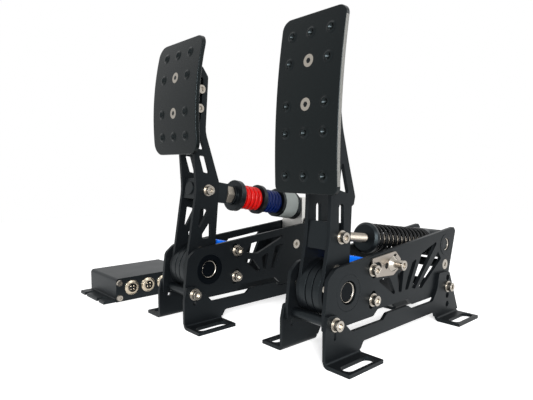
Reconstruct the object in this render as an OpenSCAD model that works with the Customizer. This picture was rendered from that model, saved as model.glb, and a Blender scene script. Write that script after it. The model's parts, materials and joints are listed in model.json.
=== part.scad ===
// Sim racing pedal set: a throttle module, a brake module with a load cell, and a control box.
// Millimetres. X runs across the modules, Y from the driver to the rear, Z up from the floor.
// Side views are drawn in (y, z) from the front edge of a module's feet.

/* [Layout] */
// Distance between the centre planes of the two pedals
module_pitch = 167; // [160:1:190]
// How far the brake stands ahead of the throttle
brake_lead = 36.5; // [20:0.5:44]
// Brake centre plane to the socket face of the control box
box_distance = 119.5; // [100:0.5:150]
// How far the control box stands ahead of the throttle feet
box_lead = 46; // [38:1:60]

/* [Frame] */
// Clear width between the side plates of a module
plate_gap = 42; // [41:0.5:48]
// Side plate thickness
plate_t = 4; // [3:0.5:5]
// Pedal pivot, distance from the front of the feet
pivot_y = 36.5; // [36:0.25:37.5]
// Pedal pivot height
pivot_z = 60.5; // [60:0.25:62]
// Diameter of the bearing cups in the side plates
cup_d = 34; // [30:0.5:36]
// Foot bracket sheet thickness
foot_t = 3.6; // [3:0.2:4.4]
// Reach of the foot flanges from the side plate
foot_w = 29.6; // [28:0.2:36]
// Inside bend radius of the foot brackets
foot_bend = 2; // [1:0.5:3]
// Width of the slots in the feet
foot_slot_w = 12; // [8:0.5:13]
// Length of the slots in the feet
foot_slot_l = 40; // [30:1:41]
// Spacing of the height holes in the rear leg
height_pitch = 10.3; // [9.5:0.1:10.5]
// Diameter of the cross tubes
tube_d = 10; // [9:0.5:11]

/* [Fasteners] */
// Main bolt diameter
bolt_d = 6; // [5:0.5:6]
// Washer diameter
washer_d = 13; // [12:0.5:14]
// Washer thickness
washer_t = 1.2; // [0.8:0.1:1.6]
// Cap screw head diameter
cap_d = 10; // [9:0.5:10.5]
// Cap screw head height
cap_h = 5; // [4:0.5:7]
// Countersunk head diameter
csk_d = 12; // [10:0.5:12.5]
// Low screw head height
low_h = 3; // [2:0.25:3.5]

/* [Pedals] */
// Gap between the two arms of a pedal
arm_gap = 24; // [22:0.5:25]
// Arm plate thickness
arm_t = 4; // [3:0.5:4.5]
// Hub diameter
hub_d = 54.4; // [52:0.2:55]
// Pivot shaft diameter
shaft_d = 20; // [16:0.5:21]
// Bolt circle of the hub screws
hub_screw_circle = 45; // [44:0.5:46]
// Pad plate thickness
pad_t = 5; // [4:0.5:5.5]
// Throttle pad width
throttle_pad_w = 76; // [60:1:90]
// Throttle pad, lower edge height
throttle_pad_z = 151.4; // [148:0.2:156]
// Throttle pad length
throttle_pad_l = 160.1; // [150:0.1:165]
// Brake pad width
brake_pad_w = 88; // [70:1:100]
// Brake pad, lower edge height
brake_pad_z = 189; // [186:0.5:194]
// Brake pad length
brake_pad_l = 124.4; // [116:0.1:130]

/* [Throttle spring line] */
// Slide pin, distance from the front of the feet
slide_y = 36.3; // [35.5:0.1:37]
// Slide pin height in the arm slot
slide_z = 110.8; // [110:0.1:125]
// Trunnion, distance from the front of the feet
trunnion_y = 215; // [212:0.5:218]
// Trunnion height
trunnion_z = 85.3; // [84:0.1:87]
// Push rod diameter
throttle_rod_d = 9.6; // [8:0.2:10]
// Slide pin to the front of the spring cup
throttle_cup_s = 56; // [50:1:70]
// Outer diameter of the throttle spring
throttle_spring_d = 30; // [27:0.5:31]
// Wire diameter of the throttle spring
throttle_wire_d = 3.2; // [2.6:0.1:3.8]
// Coils of the throttle spring
throttle_coils = 11; // [8:0.5:13]

/* [Brake spring line] */
// Brake pin, distance from the front of the feet
brake_pin_y = 41.4; // [40:0.2:43]
// Brake pin height
brake_pin_z = 149; // [146:0.5:152]
// Downward tilt of the brake rod, degrees
brake_tilt = 10; // [8:0.5:11]
// Brake rod diameter
brake_rod_d = 12; // [10:0.5:12]
// Side of the square rod block
brake_block_w = 23.4; // [20:0.2:23.4]
// Outer diameter of the brake springs
brake_spring_d = 30; // [28:0.5:32]
// Wire diameter of the brake springs
brake_wire_d = 5.2; // [4:0.1:5.4]
// Turns of each brake spring
brake_coils = 3.75; // [3.25:0.25:4]
// Length of the front, red spring
red_l = 30.4; // [29:0.2:34]
// Length of the rear, blue spring
blue_l = 28.5; // [27.5:0.5:32]
// Diameter of the spring washers and the elastomer
brake_disc_d = 37; // [34:0.5:38]
// Length of the elastomer
elastomer_l = 22; // [16:0.5:26]
// Load cell thickness
cell_t = 10; // [8:0.5:13]
// Load cell width
cell_w = 38; // [34:0.5:39]

/* [Control box] */
// Box length across
box_l = 82; // [70:1:100]
// Box depth
box_w = 110; // [104:1:130]
// Box height
box_h = 31; // [30:0.5:40]
// Width of the mounting flanges
box_flange = 16; // [13:0.5:20]
// Thickness of the end plates
end_t = 2.5; // [2:0.25:4]
// Wall of the box extrusion
box_wall = 3; // [2:0.25:4]
// Spacing of the sockets
socket_pitch = 23.4; // [21:0.2:25]
// Outer diameter of the sockets
socket_d = 19.2; // [17:0.2:20.6]

/* [Hidden] */
$fn = 48;

// Radial clearance of parts that fit
fit = 0.05;
// Free gap between parts that move past each other
gap = 0.3;
// Radial clearance of rods that tilt a little in their bores
sway = 1;
// Step between a slot's sides and its round ends
nick = 0.02;

plate_in = plate_gap / 2;
plate_out = plate_in + plate_t;
foot_out = plate_out + foot_t;
foot_edge = plate_out + foot_w;
bend_r = foot_t + foot_bend;
arm_in = arm_gap / 2;
arm_out = arm_in + arm_t;
pivot = [pivot_y, pivot_z];
slide = [slide_y, slide_z];
trunnion = [trunnion_y, trunnion_z];
brake_pin = [brake_pin_y, brake_pin_z];
foot_l = 240.6;
foot_front_l = 49.5;
foot_rear_y = 192;
foot_rear_l = 46;
foot_slot_x = (foot_out + foot_edge) / 2 + 3.6;

front_bolt = [13.5, 36.8];
rear_bolt = [214.5, 36.7];
rear_brace = [214.5, 62];
throttle_upper_stop = [73, 76.5];
brake_upper_stop = [75, 77.5];
lower_stop = [73.5, 47];
stop_bar_y = 68.5;
stop_pad_t = 4.3;
travel_t = 2;
travel_post = [104.5, 78.3];
shaft_end = plate_out - 4;
nub_l = 1.6;
sheet_hole_d = bolt_d + 1;

// Throttle spring line, stations along the rod from the slide pin
throttle_len = norm(trunnion - slide);
throttle_a = atan2(trunnion[1] - slide[1], trunnion[0] - slide[0]);
throttle_cup_t = 6;
barrel_r = 16;
barrel_w = plate_gap - 8;
seat_s = throttle_len - barrel_r - 0.2;
nut_seat_s = throttle_len + barrel_r + 0.5;
throttle_spring_s = throttle_cup_s + throttle_cup_t;
throttle_spring_l = seat_s - throttle_spring_s;
trunnion_bore_d = throttle_rod_d + 2.4;

// Brake spring line, stations along the rod from the brake pin
block_s = 31;
nut_s = 34;
nut_h = 10;
nut_af = 19;
cup_s = nut_s + nut_h + 4;
red_s = cup_s + 7;
middle_s = red_s + red_l;
middle_t = 5.6;
blue_s = middle_s + middle_t;
rear_s = blue_s + blue_l;
rear_t = 4.5;
elastomer_s = rear_s + rear_t;
ring_s = elastomer_s + elastomer_l;
cell_y = brake_pin_y + (ring_s + 6.4) * cos(brake_tilt);
cell_rod_z = brake_pin_z - (cell_y + cell_t / 2 - brake_pin_y) * tan(brake_tilt);
cell_block = [cell_y - 28.5, 60];
cell_block_size = [28.5, 26];
cell_screw = [cell_y - 16.5, 74];
sway_bore_d = brake_rod_d + 2 * sway;

// Placement of the whole set: origin on the floor, below the middle of its outline
box_x = module_pitch + box_distance;
box_screw_h = 1.8;
edge_x0 = -(box_x + box_l + box_screw_h);
edge_x1 = foot_edge;
edge_y0 = -max(box_lead + box_flange, brake_lead);
edge_y1 = foot_l;
origin_x = -(edge_x0 + edge_x1) / 2;
origin_y = -(edge_y0 + edge_y1) / 2;

black = [0.16, 0.17, 0.17];
steel = [0.72, 0.72, 0.70];
blue = [0.10, 0.35, 0.85];

// Outlines, as [y, z, corner radius]
throttle_plate_outline = [
    [3.5, 30.5, 2], [4, 46, 0], [7.8, 76.5, 8], [18.8, 85.3, 8], [233, 104, 3],
    [237.3, 99.5, 3], [224.5, 56, 12], [219, 28.5, 3], [144, 28.5, 4],
    [136, 35.8, 4], [82, 36, 4], [75, 30.5, 4]
];
brake_plate_outline = [
    [3.5, 30.5, 2], [4, 46, 0], [7.8, 76.5, 8], [18.8, 85.3, 8], [212, 102, 4],
    [222, 90, 8], [224, 56, 10], [219, 28.5, 3], [144, 28.5, 4],
    [136, 35.8, 4], [82, 36, 4], [75, 30.5, 4]
];
foot_outline = [
    [0.5, bend_r, 0], [0.5, 32, 4], [4, 46, 3], [17, 44.5, 5], [31, 31, 5], [37, 25, 5],
    [86, 25, 4], [93, 30.5, 4], [131, 30.5, 4], [141, 25, 4], [182, 25, 6],
    [191.5, 38, 8], [195, 55, 3], [218.6, 53.7, 5], [foot_l, bend_r, 0],
    [189.5, bend_r, 0], [187, 12, 3], [55, 12, 3], [51, bend_r, 0]
];
throttle_windows = [
    [[80, 65.5], [102, 64.5], [113, 46], [109, 46]],
    [[115.5, 65.5], [127.5, 68.5], [124, 46], [119, 46]],
    [[130, 46.5], [136, 46], [153.5, 78], [141, 72.5]],
    [[142, 46.5], [150, 44.5], [197.5, 92], [163, 81.5]],
    [[156.5, 45], [163, 42.5], [204.5, 70], [198, 79]]
];
brake_windows = [
    [[88, 73], [98, 83.5], [160, 89.5], [108, 70]],
    [[84, 65.5], [101, 63.5], [114, 47], [106, 48]],
    [[114, 65], [125.5, 69.5], [120.5, 48], [117, 48]],
    [[129, 47.5], [135, 47.5], [151, 78], [137, 75.5]]
];
travel_outline = [
    [70.5, 87.6, 1], [109, 90.4, 3], [118.5, 81.5, 3], [117.8, 73.5, 3], [105.5, 66.6, 4],
    [77.3, 68.6, 2], [70.5, 71.5, 1]
];
throttle_arm_outline = [
    [11, 66, 0], [14.5, 84, 12], [20.2, 110, 40], [22, 148, 60], [18, 230, 40],
    [19, 274, 3], [27, 274, 3], [37.5, 210, 60], [46, 181, 30], [56.5, 147.5, 3],
    [54.5, 140, 2], [51.5, 138.5, 1], [49, 86, 6], [50, 74, 0]
];
brake_arm_outline = [
    [11, 66, 0], [15.5, 88, 12], [25.8, 150, 60], [23.5, 190, 40], [22, 232, 40],
    [29, 286, 3], [36, 286, 2], [43.5, 275.5, 6], [39, 214, 30], [57, 158, 12],
    [56.5, 148, 10], [52, 97, 20], [50, 74, 0]
];
throttle_arm_windows = [[[33, 154.5], [46.5, 150.5], [37, 184]]];
brake_arm_windows = [
    [[26.5, 214], [30, 213], [37, 194], [28, 196]],
    [[30, 188.5], [38.5, 187], [44, 167.5], [35.5, 169.5]],
    [[31, 129.5], [41.5, 126.5], [26.5, 102]],
    [[33, 94.5], [44, 94.5], [44.5, 114.5], [32.5, 99.5]]
];
throttle_mount_screws = [[25.2, 236], [23.1, 260]];
brake_mount_screws = [[30.5, 239.7], [32.7, 260.6]];

// Corner of an outline turned into an arc
function arc_corner(p, q, s, r) =
    let (u = (p - q) / norm(p - q), v = (s - q) / norm(s - q))
    let (half = acos(max(-1, min(1, u * v))) / 2)
    let (c = q + (u + v) / norm(u + v) * r / sin(half))
    let (a = q + u * r / tan(half) - c, b = q + v * r / tan(half) - c)
    let (a0 = atan2(a[1], a[0]), turn = (atan2(b[1], b[0]) - a0 + 540) % 360 - 180)
    let (n = max(2, ceil(abs(turn) / 12)))
    [for (i = [0:n]) c + r * [cos(a0 + turn * i / n), sin(a0 + turn * i / n)]];

function flat(p) = [p[0], p[1]];

function rounded(path) = let (n = len(path)) [
    for (i = [0:n - 1])
    each path[i][2] > 0
    ? arc_corner(flat(path[(i + n - 1) % n]), flat(path[i]), flat(path[(i + 1) % n]), path[i][2])
    : [flat(path[i])]
];

function with_radius(points, r) = [for (p = points) [p[0], p[1], r]];

function polar(a, r) = [r * cos(a), r * sin(a)];

// Height of a coil above the seat after t turns, with closed end turns
function coil_rise(t, n, l, d, e) =
    t < 1 ? e * t
    : t > n - 1 ? l - d - e * (n - t)
    : e + (l - d - 2 * e) * (t - 1) / (n - 2);

function coil_points(n, l, d, r, e) = [
    for (i = [0:round(n * 8)])
    let (t = i / 8)
    [r * cos(360 * t), r * sin(360 * t), d / 2 + coil_rise(min(t, n), n, l, d, e)]
];

// Least free distance between neighbouring turns
function coil_gap(c, d) = min([
    for (i = [0:len(c) - 7], j = [i + 6:min(i + 10, len(c) - 1)])
    norm(c[i] - c[j])
]) - d;

// Places children in a module's side view, drawn in (y, z) and raised along x
module side() rotate([90, 0, 90]) children();

module slab(x, t, outline) side() translate([0, 0, x]) linear_extrude(height = t) polygon(outline);

module pin(p, d, x0, x1) side() translate([p[0], p[1], x0]) cylinder(d = d, h = x1 - x0);

module slot_cut(p, q, d, x0, x1) {
    pin(p, d, x0, x1);
    pin(q, d, x0, x1);
    side() translate([p[0], p[1], x0]) rotate([0, 0, atan2(q[1] - p[1], q[0] - p[0])])
        translate([0, nick - d / 2, 0]) cube([norm(q - p), d - 2 * nick, x1 - x0]);
}

// Slot along an arc about the pivot, centred on the point p
module arc_slot(p, d, spread, x0, x1) {
    r = norm(p - pivot);
    a = atan2(p[1] - pivot[1], p[0] - pivot[0]);
    side() translate([pivot[0], pivot[1], x0 - 0.5]) rotate([0, 0, a - spread])
        rotate_extrude(angle = 2 * spread) translate([r - d / 2 + nick, 0]) square([d - 2 * nick, x1 - x0 + 1]);
    for (e = [-1, 1]) pin(pivot + polar(a + e * spread, r), d, x0, x1);
}

// Turns local z along a line of the side view that leaves p at the angle a
module on_line(p, a) translate([0, p[0], p[1]]) rotate([a - 90, 0, 0]) children();

module on_throttle_line(s) on_line(slide, throttle_a) translate([0, 0, s]) children();

module on_brake_line(s) on_line(brake_pin, -brake_tilt) translate([0, 0, s]) children();

module on_both_sides() {
    children();
    mirror([1, 0, 0]) children();
}

module throttle_place() translate([origin_x, origin_y, 0]) children();

module brake_place() translate([origin_x - module_pitch, origin_y - brake_lead, 0]) children();

module box_place() translate([origin_x - box_x, origin_y - box_lead, 0]) children();

// Cap screw on a washer, seated at x and running in to tip
module cap_screw(p, seat, tip) side() translate([p[0], p[1], 0]) difference() {
    union() {
        translate([0, 0, tip]) cylinder(d = bolt_d, h = seat - tip + 0.5);
        translate([0, 0, seat]) cylinder(d = washer_d, h = washer_t);
        translate([0, 0, seat + washer_t]) cylinder(d = cap_d, h = cap_h);
    }
    translate([0, 0, seat + washer_t + cap_h / 2]) cylinder(d = cap_d / 2 / cos(30), h = cap_h, $fn = 6);
}

// Low round-headed screw, seated at x and running in to tip
module low_screw(p, d, head, seat, tip) side() translate([p[0], p[1], 0]) difference() {
    union() {
        translate([0, 0, tip]) cylinder(d = d, h = seat - tip + 0.5);
        translate([0, 0, seat]) cylinder(d1 = head, d2 = head - 1.5, h = low_h);
    }
    translate([0, 0, seat + low_h / 2]) cylinder(d = head / 2, h = low_h, $fn = 6);
}

// Countersunk screw along local z with its head flush at zero, pointing to -z
module csk_screw(d, head, length) difference() {
    union() {
        translate([0, 0, -length]) cylinder(d = d, h = length);
        translate([0, 0, -(head - d) / 2]) cylinder(d1 = d, d2 = head, h = (head - d) / 2);
    }
    translate([0, 0, -2]) cylinder(d = head / 2.6, h = 3, $fn = 6);
}

module csk_cut(d, head, length) {
    translate([0, 0, -length]) cylinder(d = d + 2 * fit, h = length + 1);
    translate([0, 0, -(head - d) / 2]) cylinder(d1 = d + 2 * fit, d2 = head + 2 * fit, h = (head - d) / 2 + 0.01);
}

// Compression spring as one swept tube, standing on local zero
module coil_spring(coils, length, outer, wire, end_pitch) {
    r = outer / 2 - wire / 2;
    c = coil_points(coils, length, wire, r, end_pitch);
    n = len(c);
    echo(str("coil gap ", coil_gap(c, wire)));
    ring = [
        for (i = [0:n - 1], k = [0:5])
        c[i] + wire / 2 * (cos(60 * k + 30) * [cos(45 * i), sin(45 * i), 0] + sin(60 * k + 30) * [0, 0, 1])
    ];
    walls = [
        for (i = [0:n - 2], k = [0:5])
        let (a = 6 * i + k, b = 6 * i + (k + 1) % 6)
        each [[a, b, b + 6], [a, b + 6, a + 6]]
    ];
    ends = [
        for (k = [1:4]) each [[0, k + 1, k], [6 * n - 6, 6 * n - 6 + k, 6 * n - 5 + k]]
    ];
    polyhedron(points = ring, faces = concat(walls, ends));
}

// Side plate with its pivot hole, bolt holes and stop slots
module frame_plate(outline, windows, upper_stop) {
    through = [plate_in - 1, plate_out + 1];
    difference() {
        slab(plate_in, plate_t, rounded(outline));
        for (w = windows) slab(plate_in - 1, plate_t + 2, rounded(with_radius(w, 1.6)));
        pin(pivot, cup_d + 2 * fit, through[0], through[1]);
        for (p = [front_bolt, rear_bolt]) pin(p, sheet_hole_d, through[0], through[1]);
        arc_slot(upper_stop, sheet_hole_d, 8, through[0], through[1]);
        arc_slot(lower_stop, sheet_hole_d, 8, through[0], through[1]);
    }
}

module csk_holes(p) on_both_sides() translate([plate_out, p[0], p[1]]) rotate([0, 90, 0]) csk_cut(bolt_d, csk_d, plate_t + 2);

module throttle_plate() difference() {
    frame_plate(throttle_plate_outline, throttle_windows, throttle_upper_stop);
    csk_holes(rear_brace);
    pin(trunnion, trunnion_ring_d + 2 * fit, plate_in - 1, plate_out + 1);
    pin(travel_post, bolt_d + 2 * fit, plate_in - 1, plate_out + 1);
}

module brake_plate() difference() {
    frame_plate(brake_plate_outline, brake_windows, brake_upper_stop);
    csk_holes(cell_screw);
}

// Foot bracket: an upright leg with a bar, and two slotted flanges
module foot_bracket() difference() {
    union() {
        slab(plate_out, foot_t, rounded(foot_outline));
        for (f = [[1, foot_front_l - 1], [foot_rear_y, foot_rear_l]])
            translate([plate_out, f[0] + f[1], 0]) rotate([90, 0, 0]) linear_extrude(height = f[1])
                polygon(rounded([
                    [0, bend_r + 1, 0], [0, 0, bend_r], [foot_w, 0, 0],
                    [foot_w, foot_t, 0], [foot_t, foot_t, foot_bend], [foot_t, bend_r + 1, 0]
                ]));
    }
    pin(front_bolt, sheet_hole_d, plate_out - 1, foot_out + 1);
    for (k = [-2:1]) pin(rear_bolt + [0, k * height_pitch], sheet_hole_d, plate_out - 1, foot_out + 1);
    for (y = [foot_front_l / 2, foot_rear_y + foot_rear_l / 2])
        translate([foot_slot_x, y, -1]) {
            for (e = [-1, 1]) translate([0, e * (foot_slot_l - foot_slot_w) / 2, 0])
                cylinder(d = foot_slot_w, h = foot_t + 2);
            translate([-foot_slot_w / 2, -(foot_slot_l - foot_slot_w) / 2, 0])
                cube([foot_slot_w, foot_slot_l - foot_slot_w, foot_t + 2]);
        }
    children();
}

module throttle_foot() foot_bracket() slot_cut([13.5, 24.2], [13.5, 28.2], 3.2, plate_out - 1, foot_out + 1);

module brake_foot() foot_bracket() pin([13.5, 26.5], 4, plate_out - 1, foot_out + 1);

module cross_tube(p) difference() {
    pin(p, tube_d, -plate_in, plate_in);
    pin(p, bolt_d + 2 * fit, -plate_in - 1, plate_in + 1);
}

module frame_bolts(upper_stop) on_both_sides() {
    for (p = [front_bolt, rear_bolt]) cap_screw(p, foot_out, plate_in - 12);
    for (p = [upper_stop, lower_stop]) cap_screw(p, plate_out, plate_in - 10);
}

module side_csk_screws(p) on_both_sides()
    translate([plate_out, p[0], p[1]]) rotate([0, 90, 0]) csk_screw(bolt_d, csk_d, plate_t + 10);

// Bearing cup in the side plate, with a boss that guides the arm
module bearing_cup() difference() {
    union() {
        pin(pivot, cup_d, plate_in - 0.5, plate_out);
        pin(pivot, cup_d + 2.4, plate_in - 1, plate_in);
        pin(pivot, shaft_d + 6, arm_out + gap, plate_in - 0.5);
    }
    pin(pivot, shaft_d + 2 * fit, arm_out, plate_out + 1);
    pin(pivot, shaft_d + 2, shaft_end - 0.4, plate_out + 1);
}

module stop_bar(upper_stop) difference() {
    slab(-plate_in, plate_gap, rounded([
        [stop_bar_y, 40, 1], [80, 40, 3], [80, 85, 3], [stop_bar_y, 85, 1]
    ]));
    for (p = [upper_stop, lower_stop]) pin(p, bolt_d + 2 * fit, -plate_in - 1, plate_in + 1);
}

module stop_pad() slab(-plate_in + 0.5, plate_gap - 1, rounded([
    [stop_bar_y - stop_pad_t, 42, 1], [stop_bar_y, 42, 0], [stop_bar_y, 88, 0], [stop_bar_y - stop_pad_t, 88, 1]
]));

// Pivot shaft, drum and the holes of the hub screws
module pivot_shaft() {
    pin(pivot, shaft_d, -shaft_end, shaft_end);
    pin(pivot, shaft_d - 3, -shaft_end - nub_l, shaft_end + nub_l);
}

hub_angles = [for (k = [0:5]) 47 + 60 * k];
groove_w = 1.2;
disc_w = (arm_gap - 2 * groove_w) / 3;
hub_screw_d = 5;
trunnion_ring_d = 24.5;
trunnion_pin_d = 14;

module hub_holes(x0, x1) for (a = hub_angles)
    pin(pivot + polar(a, hub_screw_circle / 2), hub_screw_d + 2 * fit, x0, x1);

module drum() difference() {
    pin(pivot, hub_d, -arm_in, arm_in);
    on_both_sides() difference() {
        pin(pivot, hub_d + 2, disc_w / 2, disc_w / 2 + groove_w);
        pin(pivot, hub_d - 5, disc_w / 2 - 1, disc_w / 2 + groove_w + 1);
    }
    pin(pivot, shaft_d + 2 * fit, -arm_in - 1, arm_in + 1);
    on_both_sides() hub_holes(arm_in - 7, arm_in + 1);
}

module arm_plate(outline, windows) difference() {
    union() {
        pin(pivot, hub_d, arm_in, arm_out);
        slab(arm_in, arm_t, rounded(outline));
    }
    for (w = windows) slab(arm_in - 1, arm_t + 2, rounded(with_radius(w, 1.5)));
    pin(pivot, shaft_d + 2 * fit, arm_in - 1, arm_out + 1);
    hub_holes(arm_in - 1, arm_out + 1);
    children();
}

module throttle_arm() arm_plate(throttle_arm_outline, throttle_arm_windows) {
    slot_cut([slide[0], slide[1] - 2.4], [slide[0], slide[1] + 27], bolt_d + 1, arm_in - 1, arm_out + 1);
}

module throttle_arm_cut() slot_cut([25.8, 229], [22.6, 266], bolt_d + 0.4, arm_in - 1, arm_out + 1);

module brake_arm() arm_plate(brake_arm_outline, brake_arm_windows) {
    pin(brake_pin, bolt_d + 1, arm_in - 1, arm_out + 1);
}

module brake_arm_cut() slot_cut([29.4, 229], [33.8, 271], bolt_d + 0.4, arm_in - 1, arm_out + 1);

module arm_screws(mount_screws, p) on_both_sides() {
    for (a = hub_angles) low_screw(pivot + polar(a, hub_screw_circle / 2), hub_screw_d, 8.5, arm_out, arm_in - 6);
    for (m = mount_screws) low_screw(m, bolt_d, 11, arm_out, arm_in - 7);
    cap_screw(p, arm_out, arm_in - 7);
}

// Bowed pad plate: an arc in the side view, cut to its rounded front outline
module bowed_pad(apex, bow, w, z, l, r_low, r_top) intersection() {
    side() translate([apex[0] + bow, apex[1], -w]) difference() {
        cylinder(r = bow, h = 2 * w, $fn = 480);
        translate([0, 0, -1]) cylinder(r = bow - pad_t, h = 2 * w + 2, $fn = 480);
    }
    translate([0, 60, 0]) rotate([90, 0, 0]) linear_extrude(height = 80) polygon(rounded([
        [-w / 2, z, r_low], [w / 2, z, r_low], [w / 2, z + l, r_top], [-w / 2, z + l, r_top]
    ]));
}

// Places children on the pad face with local z pointing out of it
module on_pad(apex, bow, x, z) {
    a = asin((z - apex[1]) / bow);
    translate([x, apex[0] + bow * (1 - cos(a)), z]) rotate([90 - a, 0, 0]) children();
}

module grip_collar() translate([0, 0, -0.6]) cylinder(d1 = 10.5, d2 = 6.4, h = 1.9);

module grip_hole() translate([0, 0, -1]) cylinder(d = 4, h = 4);

module pad_plate(apex, bow, w, z, l, r_low, r_top, columns, rows, screws) difference() {
    union() {
        bowed_pad(apex, bow, w, z, l, r_low, r_top);
        for (x = columns, h = rows) if (x != 0 || !is_screw(h, screws)) on_pad(apex, bow, x, h) grip_collar();
    }
    for (x = columns, h = rows) if (x != 0 || !is_screw(h, screws)) on_pad(apex, bow, x, h) grip_hole();
    for (h = screws) on_pad(apex, bow, 0, h) csk_cut(bolt_d, csk_d, pad_t + 2);
}

function is_screw(h, screws) = len([for (s = screws) if (s == h) s]) > 0;

throttle_apex = [2.6, 182];
throttle_bow = 700;
throttle_rows = [167.5, 205.5, 230.5, 269, 294];
throttle_pad_holes = [230.5, 269];
brake_apex = [7, 225];
brake_bow = 325;
brake_rows = [208.5, 234, 272.7, 297.3];
brake_pad_holes = [234, 272.7];

// Block between the arms that carries the pad
module mount_block(apex, bow, outline, side_screws, pad_screws) difference() {
    slab(-arm_in, arm_gap, rounded(outline));
    side() difference() {
        translate([-10, 150, -arm_in - 1]) cube([60, 160, arm_gap + 2]);
        translate([apex[0] + bow, apex[1], -arm_in - 2]) cylinder(r = bow - pad_t, h = arm_gap + 4, $fn = 480);
    }
    for (m = side_screws) on_both_sides() pin(m, bolt_d + 2 * fit, arm_in - 7.5, arm_in + 1);
    for (h = pad_screws) on_pad(apex, bow, 0, h) translate([0, 0, -pad_t - 8]) cylinder(d = bolt_d + 2 * fit, h = 12);
}

module pad_screws(apex, bow, screws) for (h = screws)
    on_pad(apex, bow, 0, h) csk_screw(bolt_d, csk_d, pad_t + 7.5);

module throttle_side_plate_left() color(black) throttle_place() mirror([1, 0, 0]) throttle_plate();

module throttle_side_plate_right() color(black) throttle_place() throttle_plate();

module throttle_foot_left() color(black) throttle_place() mirror([1, 0, 0]) throttle_foot();

module throttle_foot_right() color(black) throttle_place() throttle_foot();

module throttle_cross_tubes() color(black) throttle_place()
    for (p = [front_bolt, rear_bolt, rear_brace]) cross_tube(p);

module throttle_frame_screws() color(steel) throttle_place() {
    frame_bolts(throttle_upper_stop);
    side_csk_screws(rear_brace);
}

module throttle_bearing_cups() color(black) throttle_place() on_both_sides() bearing_cup();

module throttle_stop_bar() color(black) throttle_place() stop_bar(throttle_upper_stop);

module throttle_stop_pad() color(blue) throttle_place() stop_pad();

module trunnion_bushes() color([0.3, 0.31, 0.31]) throttle_place() on_both_sides() difference() {
    pin(trunnion, trunnion_ring_d, plate_in, plate_out + 0.4);
    pin(trunnion, trunnion_pin_d + 2 * fit, plate_in - 1, plate_out + 1);
}

module travel_plate() color(steel) throttle_place() difference() {
    slab(plate_out, travel_t, rounded(travel_outline));
    pin(throttle_upper_stop, washer_d + 1.4, plate_out - 1, plate_out + travel_t + 1);
    slot_cut([76, 77.6], [79.2, 77.6], 11.6, plate_out - 1, plate_out + travel_t + 1);
    pin([93.6, 77.8], 6, plate_out - 1, plate_out + travel_t + 1);
    slot_cut([106.6, 86.3], [109.3, 86.7], 2.6, plate_out - 1, plate_out + travel_t + 1);
    pin(travel_post, bolt_d + 2 * fit, plate_out - 1, plate_out + travel_t + 1);
}

module travel_screw() color(steel) throttle_place() side() translate([travel_post[0], travel_post[1], 0])
    difference() {
        union() {
            translate([0, 0, plate_in - 2]) cylinder(d = bolt_d, h = plate_t + 6);
            translate([0, 0, plate_out + travel_t]) cylinder(d1 = 16, d2 = 9.5, h = 3.5);
            translate([0, 0, plate_out + travel_t + 3]) cylinder(d = 7.6, h = 5.5);
            translate([0, 0, plate_out + travel_t + 8]) cylinder(d = cap_d, h = cap_h);
        }
        translate([0, 0, plate_out + travel_t + 8 + cap_h / 2]) cylinder(d = cap_d / 2 / cos(30), h = cap_h, $fn = 6);
    }

module throttle_pivot_shaft() color(steel) throttle_place() pivot_shaft();

module throttle_drum() color(black) throttle_place() drum();

module throttle_arm_left() color(black) throttle_place() mirror([1, 0, 0]) difference() {
    throttle_arm();
    throttle_arm_cut();
}

module throttle_arm_right() color(black) throttle_place() difference() {
    throttle_arm();
    throttle_arm_cut();
}

module throttle_arm_screws() color(steel) throttle_place() arm_screws(throttle_mount_screws, slide);

module throttle_pad_mount() color(black) throttle_place() mount_block(throttle_apex, throttle_bow,
    [[0, 222, 0], [31.5, 222, 3], [29, 277, 3], [0, 277, 0]], throttle_mount_screws, throttle_pad_holes);

module throttle_pad() color(black) throttle_place() pad_plate(throttle_apex, throttle_bow, throttle_pad_w,
    throttle_pad_z, throttle_pad_l, 7, 9.5, [-23, 0, 23], throttle_rows, throttle_pad_holes);

module throttle_pad_screws() color(steel) throttle_place()
    pad_screws(throttle_apex, throttle_bow, throttle_pad_holes);

module throttle_rod_block() color(black) throttle_place() difference() {
    on_throttle_line(-15) translate([-arm_in + gap, -12.9, 0]) cube([arm_gap - 2 * gap, 25.8, 30]);
    on_both_sides() pin(slide, bolt_d + 2 * fit, arm_in - 7.5, arm_in + 1);
    on_throttle_line(7.5) cylinder(d = throttle_rod_d + 2 * fit, h = 10);
}

module throttle_rod() color(steel) throttle_place() {
    on_throttle_line(8) cylinder(d = throttle_rod_d, h = nut_seat_s - 1);
    on_throttle_line(nut_seat_s + gap) cylinder(d = 16 / cos(30), h = 6, $fn = 6);
}

module throttle_spring_cup() color(black) throttle_place() on_throttle_line(throttle_cup_s) difference() {
    union() {
        cylinder(d1 = throttle_spring_d - 3, d2 = throttle_spring_d + 2, h = 2.5);
        translate([0, 0, 2.5]) cylinder(d = throttle_spring_d + 2, h = throttle_cup_t - 2.5);
        cylinder(d = throttle_spring_d - 2 * throttle_wire_d - 3, h = throttle_cup_t + 3);
    }
    translate([0, 0, -1]) cylinder(d = throttle_rod_d + 2 * fit, h = throttle_cup_t + 6);
}

module throttle_spring() color([0.1, 0.1, 0.1]) throttle_place() on_throttle_line(throttle_spring_s)
    coil_spring(throttle_coils, throttle_spring_l, throttle_spring_d, throttle_wire_d, throttle_wire_d + 0.6);

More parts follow.
